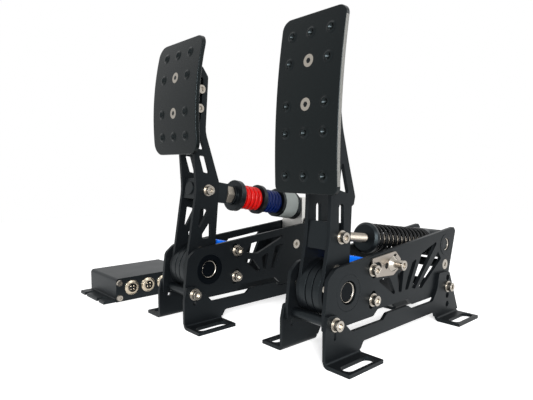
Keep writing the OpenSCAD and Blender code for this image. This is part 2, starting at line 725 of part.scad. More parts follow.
module throttle_trunnion() color(black) throttle_place() difference() {
    union() {
        pin(trunnion, 2 * barrel_r, -barrel_w / 2, barrel_w / 2);
        pin(trunnion, trunnion_pin_d, -plate_out + 2.6, plate_out - 2.6);
        pin(trunnion, trunnion_pin_d - 3, -plate_out + 1.2, plate_out - 1.2);
        on_throttle_line(seat_s) cylinder(d = 2 * barrel_r - 1, h = throttle_len - seat_s);
        on_throttle_line(throttle_len) cylinder(d = 20, h = nut_seat_s - throttle_len);
    }
    on_throttle_line(seat_s - 5) cylinder(d = trunnion_bore_d, h = 60);
}

module brake_side_plate_left() color(black) brake_place() mirror([1, 0, 0]) brake_plate();

module brake_side_plate_right() color(black) brake_place() brake_plate();

module brake_foot_left() color(black) brake_place() mirror([1, 0, 0]) brake_foot();

module brake_foot_right() color(black) brake_place() brake_foot();

module brake_cross_tubes() color(black) brake_place() for (p = [front_bolt, rear_bolt]) cross_tube(p);

module brake_frame_screws() color(steel) brake_place() {
    frame_bolts(brake_upper_stop);
    side_csk_screws(cell_screw);
}

module brake_bearing_cups() color(black) brake_place() on_both_sides() bearing_cup();

module brake_stop_bar() color(black) brake_place() stop_bar(brake_upper_stop);

module brake_stop_pad() color(blue) brake_place() stop_pad();

cell_low = 62;
cell_top = 134;

module cell_screw_places() for (x = [-10, 10], z = [67, 79]) translate([x, cell_y + cell_t, z]) rotate([-90, 0, 0]) children();

module load_cell() color([0.62, 0.63, 0.64]) brake_place() difference() {
    translate([-cell_w / 2, cell_y, cell_low]) cube([cell_w, cell_t, cell_top - cell_low]);
    slot_cut([cell_y + cell_t / 2, 90], [cell_y + cell_t / 2, 103], 6, -cell_w / 2 - 1, cell_w / 2 + 1);
    translate([0, cell_y - 1, cell_rod_z]) rotate([-90, 0, 0]) cylinder(d = sway_bore_d + 2, h = cell_t + 2);
    cell_screw_places() translate([0, 0, -cell_t - 1]) cylinder(d = 5 + 2 * fit, h = cell_t + 2);
}

module load_cell_block() color(black) brake_place() difference() {
    translate([-plate_in, cell_block[0], cell_block[1]]) cube([plate_gap, cell_block_size[0], cell_block_size[1]]);
    on_both_sides() pin(cell_screw, bolt_d + 2 * fit, plate_in - 10.5, plate_in + 1);
    cell_screw_places() translate([0, 0, -cell_t - 9]) cylinder(d = 5 + 2 * fit, h = 12);
}

module load_cell_screws() color(steel) brake_place() cell_screw_places() difference() {
    union() {
        translate([0, 0, -cell_t - 8]) cylinder(d = 5, h = cell_t + 9);
        cylinder(d = 8.5, h = 5);
    }
    translate([0, 0, 2.5]) cylinder(d = 4.6, h = 4, $fn = 6);
}

module brake_end_ring() color(black) brake_place() difference() {
    on_brake_line(ring_s) cylinder(d = brake_disc_d, h = 15);
    on_brake_line(ring_s - 1) cylinder(d = sway_bore_d, h = 18);
    translate([-30, cell_y, cell_low]) cube([60, 30, 90]);
}

module brake_elastomer() color([0.75, 0.76, 0.75]) brake_place() on_brake_line(elastomer_s) difference() {
    cylinder(d = brake_disc_d, h = elastomer_l);
    translate([0, 0, -1]) cylinder(d = sway_bore_d, h = elastomer_l + 2);
}

// Washer with a spigot that centres a spring on one side or on both
module spring_washer(t, front, rear) difference() {
    union() {
        cylinder(d = brake_disc_d, h = t);
        translate([0, 0, -front]) cylinder(d = brake_spring_d - 2 * brake_wire_d - 3, h = t + front + rear);
    }
    translate([0, 0, -5]) cylinder(d = sway_bore_d, h = t + 10);
}

module brake_rear_washer() color(black) brake_place() on_brake_line(rear_s) spring_washer(rear_t, 2.5, 0);

module brake_middle_washer() color(black) brake_place() on_brake_line(middle_s) spring_washer(middle_t, 2.5, 2.5);

module brake_pivot_shaft() color(steel) brake_place() pivot_shaft();

module brake_drum() color(black) brake_place() drum();

module brake_arm_left() color(black) brake_place() mirror([1, 0, 0]) difference() {
    brake_arm();
    brake_arm_cut();
}

module brake_arm_right() color(black) brake_place() difference() {
    brake_arm();
    brake_arm_cut();
}

module brake_arm_screws() color(steel) brake_place() arm_screws(brake_mount_screws, brake_pin);

module brake_pad_mount() color(black) brake_place() mount_block(brake_apex, brake_bow,
    [[4, 222, 0], [37, 222, 3], [40.5, 280, 3], [4, 280, 0]], brake_mount_screws, brake_pad_holes);

module brake_pad() color(black) brake_place() pad_plate(brake_apex, brake_bow, brake_pad_w,
    brake_pad_z, brake_pad_l, 14, 12, [-24, 0, 24], brake_rows, brake_pad_holes);

module brake_pad_screws() color(steel) brake_place() pad_screws(brake_apex, brake_bow, brake_pad_holes);

module brake_rod_block() color(black) brake_place() difference() {
    union() {
        on_brake_line(-14) translate([-brake_block_w / 2, -brake_block_w / 2, 0])
            cube([brake_block_w, brake_block_w, block_s + 14]);
        on_brake_line(-15.5) cylinder(d = 15, h = 3);
    }
    on_both_sides() pin(brake_pin, bolt_d + 2 * fit, arm_in - 7.5, arm_in + 1);
    on_brake_line(11.5) cylinder(d = brake_rod_d + 2 * fit, h = 30);
}

module brake_rod() color(steel) brake_place() on_brake_line(12)
    cylinder(d = brake_rod_d, h = ring_s + 6.4 + cell_t - 12);

module brake_hex_nut() color(steel) brake_place() on_brake_line(nut_s) difference() {
    cylinder(d = nut_af / cos(30), h = nut_h, $fn = 6);
    translate([0, 0, -1]) cylinder(d = brake_rod_d + 2 * fit, h = nut_h + 2);
}

module brake_preload_cup() color(black) brake_place() on_brake_line(cup_s) difference() {
    union() {
        cylinder(d = brake_disc_d + 0.8, h = red_s - cup_s);
        translate([0, 0, nut_s + nut_h - cup_s]) cylinder(d = 24, h = cup_s - nut_s - nut_h + 1);
        cylinder(d = brake_spring_d - 2 * brake_wire_d - 3, h = red_s - cup_s + 2.5);
    }
    translate([0, 0, -6]) cylinder(d = brake_rod_d + 2 * fit, h = 20);
}

module brake_red_spring() color([0.75, 0.1, 0.1]) brake_place() on_brake_line(red_s)
    coil_spring(brake_coils, red_l, brake_spring_d, brake_wire_d, (red_l - brake_wire_d) / brake_coils);

module brake_blue_spring() color([0.1, 0.15, 0.5]) brake_place() on_brake_line(blue_s)
    coil_spring(brake_coils, blue_l, brake_spring_d, brake_wire_d, (blue_l - brake_wire_d) / brake_coils);

// Control box, drawn from its front corner with the socket face at x = 0
socket_z = 17;
socket_y = box_w / 2 - 1.5 * socket_pitch + 1.3;
box_screw_y = 4.8;
box_screw_z = [5.3, 24.8 + box_h - 31];
flange_t = 4;
flange_slots = [21.5, 61.5];

module box_shell() color([0.2, 0.2, 0.2]) box_place() translate([-box_l + end_t, 0, 0]) difference() {
    rotate([90, 0, 90]) linear_extrude(height = box_l - 2 * end_t) difference() {
        polygon(rounded([
            [-box_flange, 0, 0], [box_w + box_flange, 0, 0], [box_w + box_flange, flange_t, 1.5],
            [box_w, flange_t, 1], [box_w, box_h, 4], [0, box_h, 4], [0, flange_t, 1], [-box_flange, flange_t, 1.5]
        ]));
        translate([box_screw_y * 2, box_wall]) square([box_w - box_screw_y * 4, box_h - 2 * box_wall]);
    }
    for (x = flange_slots, e = [0, 1]) translate([box_l - end_t - x, e == 0 ? 0 : box_w, -1]) mirror([0, e == 0 ? 1 : 0, 0]) {
        translate([0, box_flange - 8, 0]) cylinder(d = 6.5, h = flange_t + 2);
        translate([-3.25, box_flange - 8, 0]) cube([6.5, 20, flange_t + 2]);
    }
    for (y = [box_screw_y, box_w - box_screw_y], z = box_screw_z) translate([-1, y, z])
        rotate([0, 90, 0]) cylinder(d = 3 + 2 * fit, h = box_l + 2);
}

module box_screw_holes(d) for (y = [box_screw_y, box_w - box_screw_y], z = box_screw_z)
    translate([-box_l - 1, y, z]) rotate([0, 90, 0]) cylinder(d = d, h = box_l + 2);

module box_end_plates() color([0.13, 0.13, 0.13]) box_place() for (x = [-end_t, -box_l]) difference() {
    translate([x, 0, 0]) rotate([90, 0, 90]) linear_extrude(height = end_t)
        polygon(rounded([[0, 0.4, 0], [box_w, 0.4, 0], [box_w, box_h, 4], [0, box_h, 4]]));
    box_screw_holes(3 + 2 * fit);
    if (x == -end_t) {
        for (k = [0:2]) translate([-end_t - 1, socket_y + k * socket_pitch, socket_z])
            rotate([0, 90, 0]) cylinder(d = socket_d - 4 + 2 * fit, h = end_t + 2);
        translate([-end_t - 1, socket_y + 3 * socket_pitch - 6.1, socket_z - 5.6]) cube([end_t + 2, 12.2, 11.2]);
    }
}

module box_connectors() color(steel) box_place() {
    for (k = [0:2]) translate([0, socket_y + k * socket_pitch, socket_z]) rotate([0, 90, 0]) difference() {
        union() {
            cylinder(d = socket_d, h = 1.5);
            translate([0, 0, 1.4]) cylinder(d1 = socket_d - 0.4, d2 = socket_d - 4.5, h = 2.8);
            translate([0, 0, -9]) cylinder(d = socket_d - 4, h = 10);
        }
        translate([0, 0, -3]) cylinder(d = socket_d - 8, h = 10);
    }
    translate([0, socket_y + 3 * socket_pitch, socket_z]) difference() {
        translate([-14, -6, -5.5]) cube([14.8, 12, 11]);
        translate([-8, -4.3, -4]) cube([10, 8.6, 8]);
    }
}

module box_screws() color(steel) box_place() on_box_ends() difference() {
    union() {
        translate([0, 0, -8]) cylinder(d = 3, h = 9);
        cylinder(d1 = 8.8, d2 = 7, h = box_screw_h);
    }
    translate([0, 0, box_screw_h - 1]) cylinder(d = 3.4, h = 2, $fn = 6);
}

module on_box_ends() for (y = [box_screw_y, box_w - box_screw_y], z = box_screw_z) {
    translate([0, y, z]) rotate([0, 90, 0]) children();
    translate([-box_l, y, z]) rotate([0, -90, 0]) children();
}

throttle_side_plate_left();
throttle_side_plate_right();
throttle_foot_left();
throttle_foot_right();
throttle_cross_tubes();
throttle_frame_screws();
throttle_bearing_cups();
throttle_stop_bar();
throttle_stop_pad();
trunnion_bushes();
travel_plate();
travel_screw();
throttle_pivot_shaft();
throttle_drum();
throttle_arm_left();
throttle_arm_right();
throttle_arm_screws();
throttle_pad_mount();
throttle_pad();
throttle_pad_screws();
throttle_rod_block();
throttle_rod();
throttle_spring_cup();
throttle_spring();
throttle_trunnion();
brake_side_plate_left();
brake_side_plate_right();
brake_foot_left();
brake_foot_right();
brake_cross_tubes();
brake_frame_screws();
brake_bearing_cups();
brake_stop_bar();
brake_stop_pad();
load_cell();
load_cell_block();
load_cell_screws();
brake_end_ring();
brake_elastomer();
brake_rear_washer();
brake_pivot_shaft();
brake_drum();
brake_arm_left();
brake_arm_right();
brake_arm_screws();
brake_pad_mount();
brake_pad();
brake_pad_screws();
brake_rod_block();
brake_rod();
brake_hex_nut();
brake_preload_cup();
brake_red_spring();
brake_blue_spring();
brake_middle_washer();
box_shell();
box_end_plates();
box_connectors();
box_screws();
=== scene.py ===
"""Looks of a sim racing pedal set: throttle module, load cell brake module and control box."""
import json
import math

import bmesh
import bpy
import numpy as np
from mathutils import Matrix, Vector


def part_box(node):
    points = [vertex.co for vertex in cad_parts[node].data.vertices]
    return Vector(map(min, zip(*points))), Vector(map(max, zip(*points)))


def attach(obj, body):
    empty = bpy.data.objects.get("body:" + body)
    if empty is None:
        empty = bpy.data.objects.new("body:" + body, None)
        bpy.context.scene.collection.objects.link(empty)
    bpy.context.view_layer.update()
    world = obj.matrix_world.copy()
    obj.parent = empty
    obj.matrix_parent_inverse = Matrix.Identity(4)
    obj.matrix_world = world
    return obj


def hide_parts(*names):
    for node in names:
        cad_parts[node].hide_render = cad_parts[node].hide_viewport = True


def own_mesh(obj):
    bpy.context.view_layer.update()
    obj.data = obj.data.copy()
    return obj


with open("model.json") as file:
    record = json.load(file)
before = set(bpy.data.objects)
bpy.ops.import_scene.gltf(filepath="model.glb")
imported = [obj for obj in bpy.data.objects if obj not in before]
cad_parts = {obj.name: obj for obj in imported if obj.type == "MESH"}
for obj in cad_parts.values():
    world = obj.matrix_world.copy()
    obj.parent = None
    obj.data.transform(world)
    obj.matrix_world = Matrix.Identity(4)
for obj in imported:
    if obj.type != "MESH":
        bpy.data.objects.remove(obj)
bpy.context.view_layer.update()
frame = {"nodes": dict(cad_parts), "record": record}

bl_info = {
    "name": "Sim Racing Pedal Set",
    "version": (1, 0, 0),
    "blender": (4, 5, 0),
    "location": "3D View > Sidebar > Pedals",
    "description": "Dresses the pedal set with pads, springs, finishes and studio light",
    "category": "Object",
}


def linear(code):
    """A hex sRGB colour as linear RGBA."""
    s = np.array([int(code[i:i + 2], 16) / 255 for i in (1, 3, 5)])
    v = np.where(s <= 0.04045, s / 12.92, ((s + 0.055) / 1.055) ** 2.4)
    return (*v.tolist(), 1.0)


def put(tree, kind, settings=None, links=None):
    """Adds one node; settings go to its inputs or its attributes, links to its inputs."""
    node = tree.nodes.new(kind)
    for key, value in (settings or {}).items():
        if key in node.inputs:
            node.inputs[key].default_value = value
        else:
            setattr(node, key, value)
    for key, source in (links or {}).items():
        tree.links.new(source, node.inputs[key])
    return node


def surface(name, settings):
    """A new material, with its node tree and its Principled shader."""
    material = bpy.data.materials.new(name)
    material.use_nodes = True
    tree = material.node_tree
    shader = tree.nodes["Principled BSDF"]
    for key, value in settings.items():
        shader.inputs[key].default_value = value
    return material, tree, shader


# Finishes

def powder_coat(name, colour, roughness, grain=0.0009, ior=1.235):
    """Satin polyester powder coat on steel: an even dark film with a faint orange-peel grain."""
    cool = linear("#E2F7FF")  # of the reflections in the film
    material, tree, shader = surface(name, {
        "Base Color": linear(colour), "IOR": ior, "Specular Tint": cool,
    })
    place = put(tree, "ShaderNodeTexCoord")
    # The real grain is about 0.3 mm. It is drawn at 0.6 to 0.9 mm, so that it shows at this distance.
    # The sheen drifts over about 30 mm.
    peel = put(tree, "ShaderNodeTexNoise", {"Scale": 1 / grain, "Detail": 2.0},
               {"Vector": place.outputs["Object"]})
    cloud = put(tree, "ShaderNodeTexNoise", {"Scale": 35.0, "Detail": 3.0},
                {"Vector": place.outputs["Object"]})
    bump = put(tree, "ShaderNodeBump", {"Strength": 0.35, "Distance": 0.00006},
               {"Height": peel.outputs["Fac"]})
    sheen = put(tree, "ShaderNodeMapRange", {"To Min": roughness - 0.05, "To Max": roughness + 0.05},
                {"Value": cloud.outputs["Fac"]})
    tree.links.new(bump.outputs["Normal"], shader.inputs["Normal"])
    tree.links.new(sheen.outputs["Result"], shader.inputs["Roughness"])
    return material


def rim_with_painted_highlight(name, dark, light):
    """Edge of the throttle pad: pale grey with a granular grain beside the dark face. The pale grey is a
    painted highlight of the light from the right front.
    """
    material, tree, shader = surface(name, {"Roughness": 0.55, "IOR": 1.45})
    place = put(tree, "ShaderNodeTexCoord")
    # The real grit is about 0.2 mm and is drawn at 0.7 mm, so that it shows at this distance.
    grit = put(tree, "ShaderNodeTexNoise", {"Scale": 1400.0, "Detail": 2.0},
               {"Vector": place.outputs["Object"]})
    # The pale stop of this ramp is a painted highlight; the grit only mottles it.
    tone = put(tree, "ShaderNodeValToRGB", links={"Fac": grit.outputs["Fac"]})
    for stop, position, colour in zip(tone.color_ramp.elements, (0.3, 0.7), (dark, light)):
        stop.position, stop.color = position, linear(colour)
    bump = put(tree, "ShaderNodeBump", {"Strength": 0.4, "Distance": 0.0001},
               {"Height": grit.outputs["Fac"]})
    tree.links.new(tone.outputs["Color"], shader.inputs["Base Color"])
    tree.links.new(bump.outputs["Normal"], shader.inputs["Normal"])
    return material


def turned_stainless(name, colour, roughness):
    """A2 stainless steel, cold headed and turned: bright and slightly warm, with fine uneven polish."""
    material, tree, shader = surface(name, {"Base Color": linear(colour), "Metallic": 1.0})
    place = put(tree, "ShaderNodeTexCoord")
    # The polish varies over about 2 mm.
    marks = put(tree, "ShaderNodeTexNoise", {"Scale": 500.0, "Detail": 2.0},
                {"Vector": place.outputs["Object"]})
    polish = put(tree, "ShaderNodeMapRange", {"To Min": roughness - 0.02, "To Max": roughness + 0.03},
                 {"Value": marks.outputs["Fac"]})
    tree.links.new(polish.outputs["Result"], shader.inputs["Roughness"])
    return material


def brushed_sheet(name, colour, roughness):
    """Stainless sheet brushed lengthwise: its streaks run front to rear."""
    material, tree, shader = surface(name, {"Base Color": linear(colour), "Metallic": 1.0})
    place = put(tree, "ShaderNodeTexCoord")
    # The real streaks are about 0.1 mm wide and are drawn at 0.3 mm, so that they show at this distance.
    stretch = put(tree, "ShaderNodeMapping", {"Scale": (3000.0, 90.0, 3000.0)},
                  {"Vector": place.outputs["Object"]})
    streak = put(tree, "ShaderNodeTexNoise", {"Scale": 1.0, "Detail": 2.0},
                 {"Vector": stretch.outputs["Vector"]})
    polish = put(tree, "ShaderNodeMapRange", {"To Min": roughness - 0.08, "To Max": roughness + 0.1},
                 {"Value": streak.outputs["Fac"]})
    bump = put(tree, "ShaderNodeBump", {"Strength": 0.15, "Distance": 0.00004},
               {"Height": streak.outputs["Fac"]})
    tree.links.new(polish.outputs["Result"], shader.inputs["Roughness"])
    tree.links.new(bump.outputs["Normal"], shader.inputs["Normal"])
    return material


def blasted_aluminium(name, colour):
    """Bead-blasted, clear anodised aluminium: pale grey and matt."""
    material, tree, shader = surface(name, {"Base Color": linear(colour), "Metallic": 1.0, "Roughness": 0.52})
    place = put(tree, "ShaderNodeTexCoord")
    # The real grit is about 0.1 mm and is drawn at 0.4 mm, so that it shows at this distance.
    grit = put(tree, "ShaderNodeTexNoise", {"Scale": 2500.0, "Detail": 1.0},
               {"Vector": place.outputs["Object"]})
    bump = put(tree, "ShaderNodeBump", {"Strength": 0.3, "Distance": 0.00005},
               {"Height": grit.outputs["Fac"]})
    tree.links.new(bump.outputs["Normal"], shader.inputs["Normal"])
    return material


def spring_paint(name, colour, roughness, ior):
    """Spring steel with a thick gloss paint, which pools a little and hides the wire's surface."""
    material, tree, shader = surface(name, {"Base Color": linear(colour), "IOR": ior})
    place = put(tree, "ShaderNodeTexCoord")
    # The paint pools over about 4 mm.
    pool = put(tree, "ShaderNodeTexNoise", {"Scale": 250.0, "Detail": 2.0},
               {"Vector": place.outputs["Object"]})
    gloss = put(tree, "ShaderNodeMapRange", {"To Min": roughness - 0.05, "To Max": roughness + 0.07},
                {"Value": pool.outputs["Fac"]})
    tree.links.new(gloss.outputs["Result"], shader.inputs["Roughness"])
    return material


def cast_urethane(name, colour, roughness):
    """Cast polyurethane or rubber: one deep colour, softly matt, with a cloudy skin from the mould."""
    material, tree, shader = surface(name, {"Base Color": linear(colour), "IOR": 1.33})
    place = put(tree, "ShaderNodeTexCoord")
    # The skin is cloudy over about 2.5 mm.
    skin = put(tree, "ShaderNodeTexNoise", {"Scale": 400.0, "Detail": 3.0},
               {"Vector": place.outputs["Object"]})
    matt = put(tree, "ShaderNodeMapRange", {"To Min": roughness - 0.06, "To Max": roughness + 0.06},
               {"Value": skin.outputs["Fac"]})
    bump = put(tree, "ShaderNodeBump", {"Strength": 0.2, "Distance": 0.00005},
               {"Height": skin.outputs["Fac"]})
    tree.links.new(matt.outputs["Result"], shader.inputs["Roughness"])
    tree.links.new(bump.outputs["Normal"], shader.inputs["Normal"])
    return material


# Surfaces

def mesh_piece(name, points, faces, material, smooth=True):
    """A mesh object from arrays of points and faces, with one material."""
    mesh = bpy.data.meshes.new(name)
    mesh.from_pydata(points.tolist(), [], faces.tolist())
    mesh.polygons.foreach_set("use_smooth", [smooth] * len(mesh.polygons))
    mesh.materials.append(material)
    mesh.validate()
    mesh.update()
    obj = bpy.data.objects.new(name, mesh)
    bpy.context.scene.collection.objects.link(obj)
    return obj


def outward(obj):
    """Merges doubles and turns all faces of a closed piece outwards."""
    work = bmesh.new()
    work.from_mesh(obj.data)
    bmesh.ops.remove_doubles(work, verts=work.verts, dist=1e-6)
    bmesh.ops.recalc_face_normals(work, faces=work.faces)
    work.to_mesh(obj.data)
    work.free()
    return obj


def grid_faces(rows, columns, wrap):
    """Quads between neighbours of a grid of rows by columns; wrap closes it along the columns."""
    r, c = np.meshgrid(np.arange(rows - 1), np.arange(columns if wrap else columns - 1), indexing="ij")
    d = (c + 1) % columns
    row, following = r * columns, (r + 1) * columns
    return np.stack([row + c, row + d, following + d, following + c], -1).reshape(-1, 4)


def tube(name, centres, outer, up, half, square, material, sides=16):
    """A bar along a line of centres: each ring is centre + half[0] * c * outer + half[1] * s * up, where
    c and s are cos a and sin a raised to the power square, which flattens the sides when it is below 1.
    The first and last rings shrink to a point and close the ends."""
    a = np.linspace(0, 2 * math.pi, sides, endpoint=False)
    c = half[0] * np.sign(np.cos(a)) * np.abs(np.cos(a)) ** square
    s = half[1] * np.sign(np.sin(a)) * np.abs(np.sin(a)) ** square
    rings = centres[:, None, :] + c[None, :, None] * outer[:, None, :] + s[None, :, None] * up[:, None, :]
    first = np.repeat(centres[:1, None, :], sides, 1)
    last = np.repeat(centres[-1:, None, :], sides, 1)
    points = np.concatenate([first, rings, last])
    return outward(mesh_piece(name, points.reshape(-1, 3), grid_faces(len(points), sides, True), material))


def turned(name, profile, origin, axis, across, material, steps=64):
    """A turned body: each profile point (r, s) runs round the axis at radius r and height s."""
    a = np.linspace(0, 2 * math.pi, steps, endpoint=False)
    third = np.cross(axis, across)
    spoke = np.cos(a)[:, None] * across + np.sin(a)[:, None] * third
    r, s = np.array(profile, float).T
    points = origin + s[:, None, None] * axis + r[:, None, None] * spoke[None]
    return outward(mesh_piece(name, points.reshape(-1, 3), grid_faces(len(r), steps, True), material))


def hex_nut(name, line, start, height, flats, hole, material):
    """A chamfered nut: at depth t below an end face the radius is the lesser of the hexagon's
    flats / 2 / cos(angle from the nearest flat's middle) and the chamfer cone's land * flats + slope * t."""
    origin, axis, across, up = line
    chamfer, land = 0.06, 0.475  # the chamfer's depth and the end face's radius, as shares of the flats
    slope = 1.732  # of the chamfer cone, which is 30 degrees off the end face
    a = np.linspace(0, 2 * math.pi, 96, endpoint=False)
    hexagon = flats / 2 / np.cos(np.mod(a, math.pi / 3) - math.pi / 6)
    t = np.array([0, 0.1, 0.2, 0.35, 0.5, 0.75, 1.0]) * flats * chamfer
    cone = np.minimum(hexagon[None], land * flats + slope * t[:, None])
    inner = np.full((1, len(a)), hole / 2)
    r = np.concatenate([inner, cone, cone[::-1], inner, inner])
    s = start + np.concatenate([[0], t, height - t[::-1], [height, 0]])
    spoke = np.cos(a)[:, None] * across + np.sin(a)[:, None] * up
    points = origin + s[:, None, None] * axis + r[:, :, None] * spoke[None]
    faces = grid_faces(len(s), len(a), True)
    return outward(mesh_piece(name, points.reshape(-1, 3), faces, material, smooth=False))


def screw_thread(name, line, start, end, diameter, pitch, material):
    """A threaded rod: the radius is diameter / 2 - 0.6 * pitch * v, where v is a triangle wave of
    distance / pitch - angle / full turn. Over the last pitch at each end the thread fades, and the rod is
    chamfered by half a pitch."""
    origin, axis, across, up = line
    a = np.linspace(0, 2 * math.pi, 24, endpoint=False)
    s = np.linspace(start, end, int((end - start) / pitch * 8))
    wave = np.abs(2 * np.mod(s[:, None] / pitch - a[None] / (2 * math.pi), 1) - 1)
    taper = np.clip(np.minimum(s - start, end - s) / pitch, 0, 1)[:, None]
    r = diameter / 2 - 0.6 * pitch * wave * taper - 0.5 * pitch * (1 - taper)
    spoke = np.cos(a)[:, None] * across + np.sin(a)[:, None] * up
    points = origin + s[:, None, None] * axis + r[:, :, None] * spoke[None]
    ends = [np.repeat((origin + e * axis)[None, None], len(a), 1) for e in (start, end)]
    points = np.concatenate([ends[0], points, ends[1]])
    return outward(mesh_piece(name, points.reshape(-1, 3), grid_faces(len(points), len(a), True), material))


def softened(node, material, width):
    """A merged copy of a CAD node whose sharp edges get a small round, standing for the node."""
    # Angles between two faces: they are one face below the first, shaded as one curve below the second,
    # and their edge is rounded above the third.
    flat, curved, sharp = (math.radians(degrees) for degrees in (0.6, 28, 38))
    source = frame["nodes"][node]
    mesh = source.data.copy()
    work = bmesh.new()
    work.from_mesh(mesh)
    bmesh.ops.remove_doubles(work, verts=work.verts, dist=2e-6)
    bmesh.ops.dissolve_limit(work, angle_limit=flat, verts=work.verts, edges=work.edges)
    for edge in work.edges:
        edge.smooth = edge.calc_face_angle(0.0) < curved
    for face in work.faces:
        face.smooth = True
    work.to_mesh(mesh)
    work.free()
    mesh.materials.clear()
    mesh.materials.append(material)
    obj = bpy.data.objects.new(node + ".edged", mesh)
    bpy.context.scene.collection.objects.link(obj)
    bevel = obj.modifiers.new("edge round", "BEVEL")
    bevel.width = width
    bevel.segments = 2
    bevel.limit_method = "ANGLE"
    bevel.angle_limit = sharp
    bevel.harden_normals = True
    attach(obj, BODY_OF[node])
    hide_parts(node)
    return obj


# The body that each CAD node belongs to.
BODY_OF = {n: body for body, members in frame["record"]["behaviour"]["bodies"].items() for n in members}

# Places (y, z) in a module's side view, in metres from the front centre of its feet.
PIVOT = (0.0365, 0.0605)
TRUNNION = (0.215, 0.0853)


def module_origin(kind):
    """Front centre of a module's feet, in metres, from the pivot shaft's place."""
    low, high = (np.array(v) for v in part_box(kind + "_pivot_shaft"))
    middle = (low + high) / 2
    return np.array([middle[0], middle[1] - PIVOT[0], 0.0])


def joined(pieces, name):
    """Several pieces as one object, named for the whole."""
    bpy.ops.object.select_all(action="DESELECT")
    for piece in pieces:
        piece.select_set(True)
    bpy.context.view_layer.objects.active = pieces[0]
    bpy.ops.object.join()
    pieces[0].name = name
    return pieces[0]


def line_frame(kind, start, tilt):
    """Start, axis and two cross directions of a spring line that slopes down by tilt degrees."""
    a = math.radians(tilt)
    axis = np.array([0.0, math.cos(a), -math.sin(a)])
    across, up = np.array([1.0, 0.0, 0.0]), np.array([0.0, math.sin(a), math.cos(a)])
    return module_origin(kind) + np.array([0.0, *start]), axis, across, up


# Each spring line: the place of the pin that it starts from, and its downward slope in degrees.
THROTTLE_LINE = ((0.0363, 0.1108), 8.1215)
BRAKE_LINE = ((0.0414, 0.149), 10.0)


# Settings that a user would change

class PedalSetSizes(bpy.types.PropertyGroup):
    """Sizes of the pads, springs and edges."""
    pad_bevel: bpy.props.FloatProperty(
        name="Pad bevel", description="Chamfer on the front edge of the pad plates",
        default=0.0005, unit="LENGTH")
    collar_height: bpy.props.FloatProperty(
        name="Collar height", description="Height of the grip collars",
        default=0.001, unit="LENGTH")
    collar_radius: bpy.props.FloatProperty(
        name="Collar radius", description="Radius of a grip collar's crest",
        default=0.0034, unit="LENGTH")
    dish_depth: bpy.props.FloatProperty(
        name="Dish depth", description="Depth of the dish inside a grip collar",
        default=0.0036, unit="LENGTH")
    edge_round: bpy.props.FloatProperty(
        name="Edge round", description="Round on sheet and block edges",
        default=0.0004, unit="LENGTH")
    throttle_coils: bpy.props.FloatProperty(
        name="Throttle coils", description="Coils of the throttle spring", default=13.0)
    brake_coils: bpy.props.FloatProperty(
        name="Brake coils", description="Coils of each brake spring", default=4.4)


class PedalSetColours(bpy.types.PropertyGroup):
    """Colours of the painted and moulded parts."""
    coat: bpy.props.StringProperty(
        name="Coat", description="Powder coat of frames and arms, sRGB hex", default="#0D0F11")
    pads: bpy.props.StringProperty(
        name="Pads", description="Powder coat of the pads, sRGB hex", default="#070909")
    red: bpy.props.StringProperty(
        name="Front spring", description="Paint of the front brake spring, sRGB hex", default="#B20A06")
    navy: bpy.props.StringProperty(
        name="Rear spring", description="Paint of the rear brake spring, sRGB hex", default="#021950")
    urethane: bpy.props.StringProperty(
        name="Stop pads", description="Urethane of the stop pads, sRGB hex", default="#0A76FF")
    box: bpy.props.StringProperty(
        name="Control box", description="Coat of the control box, sRGB hex", default="#141618")


def sizes():
    """The sizes that are set in the scene."""
    return bpy.context.scene.pedal_sizes


def colours():
    """The colours that are set in the scene."""
    return bpy.context.scene.pedal_colours


def finish(name):
    """The finish of that name, made once."""
    made = bpy.data.materials.get(name)
    if made:
        return made
    c = colours()
    recipes = {
        "satin black coat": lambda: powder_coat(name, c.coat, roughness=0.4),
        "pad coat": lambda: powder_coat(name, c.pads, roughness=0.25, ior=1.265),
        # The rim's pale grey is a painted highlight, not the edge's own colour.
        "painted highlight rim": lambda: rim_with_painted_highlight(name, "#484846", "#7C7C78"),
        "black anodised aluminium": lambda: powder_coat(
            name, "#0A0C0E", roughness=0.34, grain=0.0006, ior=1.3),
        "black oxide steel": lambda: powder_coat(name, "#05070A", roughness=0.3, grain=0.0006, ior=1.13),
        "control box coat": lambda: powder_coat(name, c.box, roughness=0.42, grain=0.0008, ior=1.3),
        "box end coat": lambda: powder_coat(name, "#0E1012", roughness=0.38, grain=0.0008, ior=1.3),
        "stainless fastener": lambda: turned_stainless(name, "#A09A91", roughness=0.26),
        "ground shaft steel": lambda: turned_stainless(name, "#857F76", roughness=0.48),
        "nickel plating": lambda: turned_stainless(name, "#C4B8A4", roughness=0.18),
        "brushed stainless sheet": lambda: brushed_sheet(name, "#968F87", roughness=0.34),
        "blasted aluminium": lambda: blasted_aluminium(name, "#D2D1CD"),
        "red spring paint": lambda: spring_paint(name, c.red, roughness=0.32, ior=1.3),
        "navy spring paint": lambda: spring_paint(name, c.navy, roughness=0.32, ior=1.25),
        "black spring paint": lambda: spring_paint(name, "#050607", roughness=0.26, ior=1.2),
        "blue urethane": lambda: cast_urethane(name, c.urethane, roughness=0.45),
        "pale elastomer": lambda: cast_urethane(name, "#B6BEBB", roughness=0.5),
        "black socket moulding": lambda: cast_urethane(name, "#0C0D0E", roughness=0.4),
    }
    return recipes[name]()


# Pads

